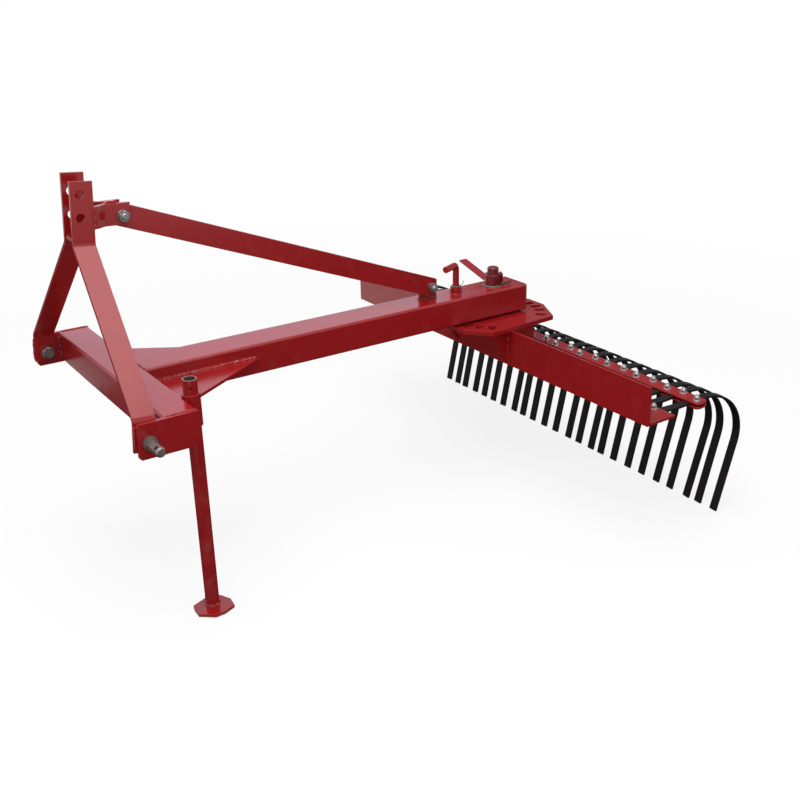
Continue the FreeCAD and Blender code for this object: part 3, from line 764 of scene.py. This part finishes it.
@dataclass
class HitchFrame(SubAssembly):
    """Crossbar, end plates, boom and gussets: their weld beads and the nuts of the lower pins."""

    bead: float = 3.6 * MM
    heavy: float = 1.6
    light: float = 0.7
    cap_bead: float = 0.45
    fillet: float = 6.0 * MM
    sunk: float = 1.5 * MM
    nut_across: float = 30.0 * MM
    nut_bore: float = 11.05 * MM

    def welds(self) -> None:
        """Beads of the crossbar, the gussets, the boom and its cap."""
        draft = Draft()
        low, high = self.level.box("crossbar")
        boom_low, boom_high = self.level.box("boom")
        cap_low, _ = self.level.box("boom_cap")
        front, rear, top, under, ease = low.y, high.y, high.z, low.z, self.fillet
        for side, sign in reversed(LEFT_RIGHT):
            x, boom = sign * high.x, sign * boom_high.x
            draft.bead([(x, front, top - ease), (x, front, under + ease)], self.bead, 11)
            draft.bead([(x, front + ease, top), (x, rear - ease, top)], self.bead * self.light, 12 + sign)
            draft.bead([(x, front + ease, under), (x, rear - ease, under)], self.bead, 14 + sign)
            draft.bead([(boom, rear, top - ease), (boom, rear, under + ease)], self.bead, 16 + sign)
            plate_low, plate_high = self.level.box(f"gusset_{side}")
            reach = max(abs(plate_low.x), abs(plate_high.x)) * sign
            for z, size in ((plate_high.z, self.bead * self.heavy), (plate_low.z, self.bead)):
                draft.bead([(boom, rear + ease, z), (boom, plate_high.y - ease, z)], size, 20 + sign)
                draft.bead([(boom, rear, z), (reach - sign * ease, rear, z)], size, 24 + sign)
        half = boom_high.x - ease * 0.7
        for z in (top - self.sunk, under):
            draft.bead([(-half, rear, z), (half, rear, z)], self.bead, 30)
        half, y, size = boom_high.x, cap_low.y, self.bead * self.cap_bead
        for x, ends in ((half, (-ease, under + ease)), (-half, (under + ease, -ease))):
            draft.bead([(x, y, z) for z in ends], size, 33)
        for z in (boom_high.z, boom_low.z):
            draft.bead([(ease - half, y, z), (half - ease, y, z)], size, 35)
        self.piece("hitch_welds", draft)

    def nuts(self) -> None:
        """Nuts of the lower hitch pins."""
        for side, sign in LEFT_RIGHT:
            low, high = self.level.box(f"hitch_nut_{side}")
            middle = (low + high) / 2
            centre = at(high.x if sign > 0 else low.x, middle.y, middle.z)
            draft = Draft()
            draft.hexagon(centre, ACROSS * -sign, self.nut_across, high.x - low.x, self.nut_bore)
            nut = self.piece(f"lower_pin_nut_{side}", draft, Body.FRAME, Slot.STEEL, STEEL)
            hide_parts(f"hitch_nut_{side}")

    def build(self) -> None:
        """Make the pieces."""
        self.welds()
        self.nuts()


@dataclass
class Mast(SubAssembly):
    """Bent straps, spacer and ears: their weld beads."""

    bead: float = 3.2 * MM
    spacer_bead: float = 0.7
    ear_bead: float = 0.9
    ear_thick: float = 9.5 * MM
    band: float = 6.0 * MM

    def edge(self, node: str, rear: bool, low: float, high: float) -> list[Vector]:
        """Two points on a strap's straight front or rear edge, at two heights.

        Args:
            node: the strap.
            rear: whether it is the rear edge.
            low: first height.
            high: second height.

        Returns:
            The points; only their Y and Z count.
        """
        points = self.level.points(node)
        bottom, top = min(p.z for p in points), max(p.z for p in points)
        pick = max if rear else min
        foot = pick((p for p in points if p.z < bottom + self.band), key=lambda p: p.y)
        head = pick((p for p in points if p.z > top - self.band), key=lambda p: p.y)
        return [foot.lerp(head, (z - foot.z) / (head.z - foot.z)) for z in (low, high)]

    def build(self) -> None:
        """Beads at the feet, the spacer and the ears."""
        draft = Draft()
        for side, sign in LEFT_RIGHT:
            strap = f"mast_strap_{side}"
            low, _ = self.level.box(strap)
            plate_low, plate_high = self.level.box(f"end_plate_{side}")
            inner = min(abs(plate_low.x), abs(plate_high.x)) * sign
            for rear in (False, True):
                ends = self.edge(strap, rear, low.z + 8 * MM, -4 * MM)
                shift = (-1 if rear else 1) * MM
                draft.bead([(inner, p.y + shift, p.z) for p in ends], self.bead, 40 + sign + rear * 5)
            low, high = self.level.box("mast_spacer")
            for z in (low.z, high.z):
                line = [(sign * high.x, y, z) for y in (low.y + 3 * MM, high.y - 3 * MM)]
                draft.bead(line, self.bead * self.spacer_bead, 50 + sign)
            low, high = self.level.box(f"brace_ear_{side}")
            ends = self.edge(strap, True, low.z + 2 * MM, high.z - 3 * MM)
            outer = max(abs(low.x), abs(high.x)) * sign
            for x in (outer, outer - sign * self.ear_thick):
                draft.bead([(x, p.y, p.z) for p in ends], self.bead * self.ear_bead, 56 + sign)
        self.piece("mast_welds", draft)


@dataclass(frozen=True)
class BoltSize:
    """Sizes of a hexagon bolt with its nut and washers."""

    radius: float
    across: float
    head: float
    nut: float
    washer: float
    washer_thick: float
    pitch: float
    beyond: float

    def flat_ring(self, draft: Draft, face: Vector, axis: Vector) -> Vector:
        """Lay a washer with softened rims.

        Args:
            draft: where it goes.
            face: middle of the face under it.
            axis: direction of its thickness.

        Returns:
            The middle of its free face.
        """
        radius, bore, thick = self.washer, self.radius * 1.06, self.washer_thick
        ease = thick * 0.2
        profile = [
            (bore, ease), (bore + ease, 0.0), (radius - ease, 0.0), (radius, ease), (radius, thick - ease),
            (radius - ease, thick), (bore + ease, thick), (bore, thick - ease),
        ]
        draft.revolve(profile, face, axis, 28, True)
        return face + axis * thick

    def thread(self, draft: Draft, foot: Vector, axis: Vector) -> None:
        """Stand a threaded end with a chamfered tip.

        Args:
            draft: where it goes.
            foot: middle of its foot, inside the nut.
            axis: direction in which it stands.
        """
        radius, pitch, length = self.radius, self.pitch, self.beyond + self.pitch
        root, height = radius * 0.88, 0.0
        profile = [(radius * 0.9, -pitch)]
        while height < length - pitch:
            profile.extend([(root, height), (radius, height + pitch / 2)])
            height += pitch
        profile.extend([(root, height), (radius * 0.78, length), (0.0, length)])
        draft.revolve(profile, foot, axis, 18)

    def bolt(self, draft: Draft, top: Vector, bottom: Vector, up: Vector) -> None:
        """Put in a whole bolt.

        Args:
            draft: where it goes.
            top: middle of the face under its nut.
            bottom: middle of the face under its head.
            up: direction from its head to its nut.
        """
        base = self.flat_ring(draft, top, up)
        draft.hexagon(base, up, self.across, self.nut, self.radius * 1.02)
        self.thread(draft, base + up * (self.nut - self.pitch), up)
        draft.hexagon(self.flat_ring(draft, bottom, -up), -up, self.across, self.head)
        shank, length = (top - bottom).normalized(), (top - bottom).length
        profile = [(0.0, 0.0), (self.radius, 0.0), (self.radius, length), (0.0, length)]
        draft.revolve(profile, bottom, shank, 20)


BRACE_BOLT = BoltSize(
    radius=7.5 * MM, across=22.5 * MM, head=9 * MM, nut=11 * MM, washer=13 * MM, washer_thick=2.2 * MM,
    pitch=1.9 * MM, beyond=5 * MM,
)
TINE_BOLT = BoltSize(
    radius=4.75 * MM, across=14.6 * MM, head=6.4 * MM, nut=8 * MM, washer=10.3 * MM, washer_thick=1.9 * MM,
    pitch=1.6 * MM, beyond=5 * MM,
)


@dataclass
class Brace(SubAssembly):
    """Bolts of the brace, and the weld of the lug beside its lower end."""

    size: BoltSize
    bead: float = 3.4 * MM
    ear_thick: float = 9.5 * MM

    def bolts(self) -> None:
        """A bolt through the ears and one through the lug, their nuts on the +X side."""
        low, high = self.level.box("brace")
        lug_low, _ = self.level.box("boom_lug")
        faces = {
            "brace_bolt_upper": (high.x + self.ear_thick, low.x - self.ear_thick),
            "brace_bolt_lower": (high.x, lug_low.x),
        }
        for name, (near, far) in faces.items():
            low, high = self.level.box(name)
            middle = (low + high) / 2
            draft = Draft()
            self.size.bolt(draft, at(near, middle.y, middle.z), at(far, middle.y, middle.z), ACROSS)
            made = self.piece(f"{name}_plated", draft, Body.FRAME, Slot.ZINC, ZINC, 28.0)
            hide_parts(name)

    def build(self) -> None:
        """Make the bolts and the bead around the lug's foot."""
        self.bolts()
        low, high = self.level.box("boom_lug")
        draft = Draft()
        z = low.z + MM
        draft.bead([(low.x, high.y, z), (low.x, low.y, z), (high.x, low.y, z)], self.bead, 61)
        draft.bead([(high.x, high.y, z), (low.x, high.y, z)], self.bead * 1.2, 62)
        draft.bead([(high.x, low.y, z), (high.x, high.y, z)], self.bead * 0.8, 63)
        self.piece("lug_weld", draft)


@dataclass
class Stand(SubAssembly):
    """Beads of the sleeve on the crossbar's rear face, and of the leg on its foot."""

    bead: float = 3.4 * MM
    beside: float = 10.5 * MM
    behind: float = 2.4 * MM

    def build(self) -> None:
        """Make the pieces."""
        low, high = self.level.box("stand_sleeve")
        _, crossbar_high = self.level.box("crossbar")
        middle = (low + high) / 2
        draft = Draft()
        for side in (-1, 1):
            x, y = middle.x + side * self.beside, crossbar_high.y + self.behind
            draft.bead([(x, y, low.z + 3 * MM), (x, y, crossbar_high.z - 5 * MM)], self.bead, 71 + side)
        self.piece("sleeve_weld", draft)
        low, high = self.level.box("stand_leg")
        radius, foot = (high.x - low.x) / 2, at(middle.x, middle.y, low.z)
        draft = Draft()
        draft.bead(arc(foot, ACROSS * radius, REAR * radius, 0, 360, 40), self.bead, 72)
        self.piece("foot_weld", draft, Body.STAND)


@dataclass
class Pivot(SubAssembly):
    """Nut, lever weld and keeper pin of the head's pivot."""

    across: float = 46.0 * MM
    bore: float = 16.6 * MM
    bead: float = 3.0 * MM
    lower_bead: float = 2.4 * MM
    lever_rise: float = 5.5 * MM
    keeper: float = 3.6 * MM
    bow: float = 2.6 * MM

    def nut(self) -> None:
        """Tall nut with turned corners."""
        low, high = self.level.box("pivot_nut")
        draft = Draft()
        draft.hexagon(at(0, ((low + high) / 2).y, low.z), UP, self.across, high.z - low.z, self.bore)
        made = self.piece("pivot_nut_turned", draft, Body.FRAME, Slot.RED, DARK_RED, 28.0)
        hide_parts("pivot_nut")

    def lever_weld(self) -> None:
        """Beads where the lever meets the nut."""
        low, high = self.level.box("clamp_lever")
        draft = Draft()
        for z, size, seed in ((low.z + self.lever_rise, self.bead, 81), (low.z, self.lower_bead, 82)):
            draft.bead([(high.x, low.y, z), (high.x, high.y, z)], size, seed)
        self.piece("lever_weld", draft)

    def keeper_pin(self) -> None:
        """Short pin lying on the boom beside the nut, with its bow against the stud."""
        _, washer_high = self.level.box("pivot_washer")
        draft = Draft()
        start = at(25 * MM, self.level.pivot_y + 6 * MM, washer_high.z + self.keeper)
        line = list(walk([start, start + at(-3 * MM, 42 * MM, 0)], 3 * MM))
        draft.tube(line, [self.keeper] * len(line), 12)
        line = arc(start + at(-4 * MM, 4 * MM, 17 * MM), at(6, 3, 0) * MM, UP * (16 * MM), -80, 100, 16)
        draft.tube(line, [self.bow] * len(line), 10)
        self.piece("keeper_pin", draft, Body.FRAME, Slot.RED, DARK_RED)

    def build(self) -> None:
        """Make the pieces."""
        self.nut()
        self.lever_weld()
        self.keeper_pin()


@dataclass
class IndexPin(SubAssembly):
    """Wire keeper and boss weld of the indexing pin."""

    wire: float = 0.9 * MM
    climb: float = 0.035 * MM
    bead: float = 2.6 * MM

    def build(self) -> None:
        """Make the pieces."""
        low, high = self.level.box("index_boss")
        middle = (low + high) / 2
        draft = Draft()
        centre = at(middle.x, middle.y, high.z + self.wire)
        ring = arc(centre, at(13, 0, 0) * MM, at(0, 12.2, 0) * MM, 20, 400, 40)
        for k, point in enumerate(ring):
            point.z += self.climb * k
        ring += [ring[-1] + at(*step) * MM for step in ((2, 5, 4), (3, 8, 9), (2, 10, 14))]
        draft.tube(ring, [self.wire] * len(ring), 8)
        self.piece("keeper_wire", draft, Body.FRAME, Slot.ZINC, ZINC)
        radius, foot = (high.x - low.x) / 2, at(middle.x, middle.y, low.z)
        draft = Draft()
        draft.bead(arc(foot, ACROSS * radius, REAR * radius, 0, 360, 36), self.bead, 91)
        self.piece("boss_weld", draft)


@dataclass
class RakeHead(SubAssembly):
    """Bolts of the tines, and the beads of the beam, the turning plate and the webs."""

    size: BoltSize
    bead: float = 4.0 * MM
    heavy: float = 1.15
    light: float = 0.8
    web_inner: float = 110.0 * MM
    web_outer: float = 118.0 * MM
    bolt_behind: float = 85.3 * MM
    bolt_under: float = 6.2 * MM
    bolt_beside: float = 19.5 * MM
    bar_thick: float = 5.0 * MM
    fan: float = 0.0155
    ahead: float = 5.5 * MM
    zigzag: float = 5.0 * MM
    flange_edge: float = 5.5 * MM

    def tines(self) -> list[tuple[Vector, Vector]]:
        """Find the tines.

        Returns:
            The middle of each one's front end and of its point, from -X on.
        """
        found = []
        for number in range(1, 7):
            for points in self.level.islands(f"tines_{number}"):
                front, low = min(p.y for p in points), min(p.z for p in points)
                start = centre_of([p for p in points if p.y < front + 4 * MM])
                found.append((start, centre_of([p for p in points if p.z < low + 8 * MM])))
        return sorted(found, key=lambda pair: pair[0].x)

    def fasteners(self) -> None:
        """Two bolts for every tine: one through the flange, one beside it through the clamp bars."""
        beam_low, beam_high = self.level.box("rake_beam")
        edge = beam_high.y - self.flange_edge
        flange_top = max(p.z for p in self.level.points("rake_beam") if p.y > edge)
        bar_top, bar_normal = self.level.flat_top("clamp_bar_upper")
        low_bar, _ = self.level.flat_top("clamp_bar_lower")
        slope = REAR - bar_normal * REAR.dot(bar_normal)
        under = (bar_top - low_bar).dot(bar_normal) + self.bar_thick
        flange_y = beam_low.y + self.bolt_behind
        flange, clamp = Draft(), Draft()
        for k, (start, tip) in enumerate(self.tines()):
            x = crossing(start, tip, flange_y)
            top, bottom = at(x, flange_y, flange_top), at(x, flange_y, beam_low.z - self.bolt_under)
            self.size.bolt(flange, top, bottom, UP)
            x = crossing(start, tip, bar_top.y) + self.bolt_beside
            shift = self.fan * abs(x) - self.ahead + self.zigzag * (-1) ** k
            top = at(x, bar_top.y, bar_top.z) + slope * shift
            self.size.bolt(clamp, top, top - bar_normal * under, bar_normal)
        self.piece("flange_bolts", flange, Body.HEAD, Slot.ZINC, NUT, 28.0)
        self.piece("clamp_bolts", clamp, Body.HEAD, Slot.ZINC, NUT, 28.0)

    def welds(self) -> None:
        """Beads of the plate on the beam, and of the webs."""
        draft = Draft()
        plate_low, plate_high = self.level.box("turning_plate")
        beam_low, _ = self.level.box("rake_beam")
        front, z, half, size = beam_low.y, plate_low.z, plate_high.x - 4 * MM, self.bead * self.light
        inner, outer = self.web_inner, self.web_outer
        for start, end in ((-half, -outer), (-inner, inner), (outer, half)):
            seam = [(start, front, z), (end, front, z)]
            draft.bead(seam, self.bead * self.heavy, round(start * 1000))
        for side in ("left", "right"):
            low, high = self.level.box(f"front_web_{side}")
            for x in (low.x, high.x):
                draft.bead([(x, front, low.z + 4 * MM), (x, front, z - 4 * MM)], size, 101)
                draft.bead([(x, front, z), (x, low.y + 6 * MM, z)], size, 102)
            low, high = self.level.box(f"rear_web_{side}")
            for x in (low.x, high.x):
                draft.bead([(x, low.y, z - 2 * MM), (x, low.y, low.z + 14 * MM)], size, 103)
                draft.bead([(x, low.y + 14 * MM, low.z), (x, high.y - 4 * MM, low.z)], size, 104)
                draft.bead([(x, low.y, z), (x, high.y - 3 * MM, z)], size, 105)
        self.piece("head_welds", draft, Body.HEAD)

    def build(self) -> None:
        """Make the pieces."""
        self.fasteners()
        self.welds()


def crossing(start: Vector, end: Vector, y: float) -> float:
    """X at which a line through two points passes this Y."""
    return start.lerp(end, (y - start.y) / (end.y - start.y)).x


def centre_of(points: Sequence[Vector]) -> Vector:
    """Middle of the box around some points."""
    return Vector((min(p[k] for p in points) + max(p[k] for p in points)) / 2 for k in range(3))


# Studio


@dataclass(frozen=True)
class Softbox:
    """A rectangular lamp, in the floor frame; a radiance of 1 is white."""

    name: str
    place: Triple
    size: tuple[float, float]
    radiance: float
    colour: Colour = WHITE
    glossy_only: bool = False


@dataclass
class Studio:
    """Camera, floor, sky, softboxes, and glowing cards that darken reflections with painted shade."""

    level: LevelFrame
    eye: Triple = (2.25639, -0.69832, 0.86402)
    azimuth: float = 53.547
    elevation: float = 22.895
    roll: float = -0.107
    lens: float = 47.235
    shift: tuple[float, float] = (-0.0589, 0.0014)
    sky_light: float = 0.63
    floor_reach: float = 60.0
    floor_tone: float = 0.92
    floor_bounce: float = 0.50
    floor_glow: float = 0.8
    glow_from: float = 1.2
    glow_to: float = 4.0
    aim: Triple = (0.0, 0.0, 0.4)
    softboxes: tuple[Softbox, ...] = (
        Softbox("overhead", (0.8, -0.8, 3.2), (3.0, 3.0), 2.8),
        Softbox("skylight", (-3.4, 1.0, 2.1), (5.0, 3.6), 0.2, (0.35, 0.22, 1.0), True),
    )

    def camera(self) -> None:
        """The camera, placed in the level frame."""
        data = bpy.data.cameras.new("camera")
        data.lens = self.lens
        data.sensor_width = 36.0
        data.shift_x, data.shift_y = self.shift
        data.clip_end = 200.0
        made = linked("camera", data)
        turn, rise, roll = (math.radians(a) for a in (self.azimuth, self.elevation, self.roll))
        ahead = at(-math.sin(turn) * math.cos(rise), math.cos(turn) * math.cos(rise), -math.sin(rise))
        level_right = at(math.cos(turn), math.sin(turn), 0)
        level_up = level_right.cross(ahead)
        right = level_right * math.cos(roll) + level_up * math.sin(roll)
        up = level_up * math.cos(roll) - level_right * math.sin(roll)
        axes = Matrix([self.level.turn @ axis for axis in (right, up, -ahead)]).transposed()
        made.matrix_world = Matrix.Translation(self.level.world(at(*self.eye))) @ axes.to_4x4()
        bpy.context.scene.camera = made

    def sky(self) -> None:
        """A white sky, dimmer as a source of diffuse light."""
        world = bpy.data.worlds.new("sky")
        bpy.context.scene.world = world
        world.use_nodes = True
        graph = Graph(world.node_tree)
        strength = graph.seen() * (1.0 - self.sky_light) + self.sky_light
        shader = graph.node("Background", None, {"Color": WHITE, "Strength": strength})
        graph.node("OutputWorld", None, {"Surface": shader})

    def panel(self, name: str, corners: Sequence[Vector], coat: str) -> tuple[bpy.types.Object, Graph]:
        """A flat panel that is only part of the stage.

        Args:
            name: its name.
            corners: its corners in the floor frame.
            coat: its material's name.

        Returns:
            The panel, and the empty graph of its material.
        """
        mesh = bpy.data.meshes.new(name)
        mesh.from_pydata(corners, [], [tuple(range(len(corners)))])
        made = linked(name, mesh)
        finish, graph = new_material(coat)
        mesh.materials.append(finish)
        return made, graph

    def floor(self) -> None:
        """A wide pale floor that keeps the object's soft shadow and reflects little diffuse light."""
        corners = [at(x, y, 0) * self.floor_reach for x, y in ((-1, -1), (1, -1), (1, 1), (-1, 1))]
        _, graph = self.panel("floor", corners, "pale_floor")
        matte, pale = (
            graph.node("BsdfDiffuse", None, {"Color": (tone, tone, tone)})
            for tone in (self.floor_bounce, self.floor_tone)
        )
        white = graph.node("Emission", None, {"Color": WHITE})
        spread = graph.node("VectorMath", {"operation": "LENGTH"}, {0: graph.place()}, "Value")
        glow = spread.step(self.glow_from, self.glow_to) * (1.0 - self.floor_glow) + self.floor_glow
        background = graph.node("MixShader", None, {0: glow, 1: pale, 2: white})
        shown = graph.node("MixShader", None, {0: graph.seen(), 1: matte, 2: background})
        graph.node("OutputMaterial", None, {"Surface": shown})

    def softbox(self, box: Softbox) -> None:
        """Hang a softbox that faces the machine.

        Args:
            box: its sizes.
        """
        data = bpy.data.lights.new(box.name, "AREA")
        data.shape = "RECTANGLE"
        data.size, data.size_y = box.size
        data.energy = box.radiance * math.pi * box.size[0] * box.size[1]
        data.color = box.colour
        made = linked(box.name, data)
        made.location = box.place
        made.rotation_euler = (at(*self.aim) - at(*box.place)).to_track_quat("-Z", "Y").to_euler()
        made.visible_camera = False
        made.visible_diffuse = not box.glossy_only

    def cards(self) -> None:
        """Two cards lying on the floor and one standing behind, which show in reflections only: dim glowing
        sheets that paint shade into the reflections.
        """
        for name, ends, heights, tone in (
            ("side_shade_card", ((-1.2, -0.3), (3.4, -0.3), (3.4, 3.2), (-1.2, 3.2)), (5 * MM,) * 4, 0.02),
            ("front_shade_card", ((-4.5, -3.0), (1.0, -3.0), (1.0, -0.3), (-4.5, -0.3)), (4 * MM,) * 4, 0.12),
            ("rear_shade_card", ((-3.2, 3.38), (1.5, 5.9), (1.5, 5.9), (-3.2, 3.38)), (0.1, 0.1, 4.5, 4.5), 0.25),
        ):
            # Each card glows at its own dim tone and is seen only in reflections: painted shade in
            # reflections, standing for the shaded floor under and beside the machine and a dimmer sky behind
            # it.
            spots = [self.level.world(at(x, y, 0)) for x, y in ends]
            made, graph = self.panel(name, [at(p.x, p.y, z) for p, z in zip(spots, heights)], name)
            glow = graph.node("Emission", None, {"Color": (tone, tone * 0.95, tone * 0.95)})
            graph.node("OutputMaterial", None, {"Surface": glow})
            made.visible_camera = made.visible_diffuse = False
            made.visible_transmission = made.visible_shadow = False

    def build(self) -> None:
        """Set the scene."""
        bpy.context.scene.view_settings.view_transform = "Standard"
        self.camera()
        self.sky()
        self.floor()
        self.cards()
        for box in self.softboxes:
            self.softbox(box)
        log.info("studio set")


def main() -> None:
    """Build every class in order."""
    logging.basicConfig(level=logging.INFO, format="%(name)s: %(message)s")
    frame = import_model()
    level = LevelFrame(frame)
    for part in (
        Carried(level), HitchFrame(level), Mast(level), Brace(level, BRACE_BOLT), Stand(level), Pivot(level),
        IndexPin(level), RakeHead(level, TINE_BOLT), Studio(level),
    ):
        part.build()


if __name__ == "__main__":
    main()
